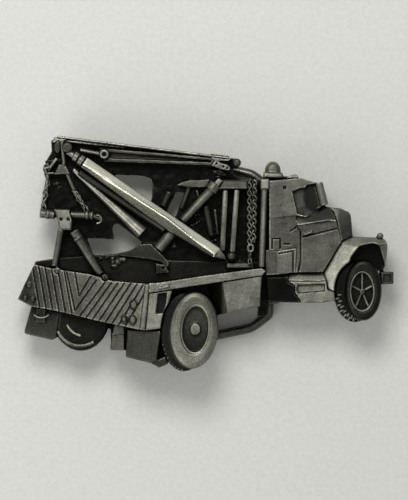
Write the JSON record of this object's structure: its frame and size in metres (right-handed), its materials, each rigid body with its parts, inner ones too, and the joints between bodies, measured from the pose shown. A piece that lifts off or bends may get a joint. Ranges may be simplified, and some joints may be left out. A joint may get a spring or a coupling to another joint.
{
  "type": "tow truck belt buckle",
  "caption": "Cast pewter belt buckle shaped as a twin-boom tow truck in high relief, with a belt peg and a hinged wire bail on its back.",
  "frame": {"origin": "centre of the bounding box on the surface it lies on", "axes": "+X towards the truck's front bumper, +Y up the picture, +Z out of the face, away from the table"},
  "size_m": [0.0902, 0.0565, 0.0186],
  "materials": {
    "pewter": "antiqued satin pewter, brushed on the high faces",
    "pewter_shadow": "dark patina left in the recesses",
    "pewter_bright": "polished high edges",
    "steel_wire": "dull drawn wire"
  },
  "bodies": {
    "casting": {"battery_box": "pewter", "belt_peg": "pewter", "boom_links": "pewter", "boom_sheaves": "pewter", "bumper": "pewter", "cab_side": "pewter", "cab_sill": "pewter", "cab_step": "pewter", "corner_post": "pewter_bright", "deck_floor": "pewter_shadow", "diagonal_brace": "pewter", "far_boom": "pewter", "far_mast_frame": "pewter_shadow", "far_mudflap": "pewter", "far_rear_tyre": "pewter", "fender": "pewter", "fender_lamp": "pewter", "frame_brackets": "pewter", "front_tyre": "pewter", "front_wheel": "pewter", "fuel_tank": "pewter", "gusset_plate": "pewter", "head_plates": "pewter", "hood_side": "pewter", "hook_chains": "pewter_shadow", "jib_arm": "pewter_shadow", "left_leg": "pewter", "lower_lug": "pewter", "mast_base": "pewter_shadow", "mast_chain": "pewter", "mast_crossbar": "pewter", "mast_knobs": "pewter", "mast_posts": "pewter", "near_boom": "pewter_bright", "near_boom_flank": "pewter_shadow", "near_mudflap": "pewter", "near_rear_tyre": "pewter", "near_rear_wheel": "pewter", "rear_side_panel": "pewter", "right_leg": "pewter", "roof_lights": "pewter", "sheave_straps": "pewter", "side_box": "pewter", "side_rail": "pewter", "stay_rods": "pewter_bright", "tailboard": "pewter", "tall_post": "pewter", "tow_bar": "pewter", "tow_block": "pewter", "upper_lug": "pewter", "web": "pewter_shadow", "wheel_arch": "pewter_shadow", "wheel_well": "pewter_shadow", "windscreen_frame": "pewter"},
    "belt_bail": {"bail": "steel_wire"}
  },
  "joints": [
    {"name": "bail_hinge", "type": "hinge", "parent": "casting", "child": "belt_bail", "pos_m": [0.0153, 0.0006, 0.00225], "axis": [0, -1, 0], "range_deg": [-12, 180]}
  ]
}
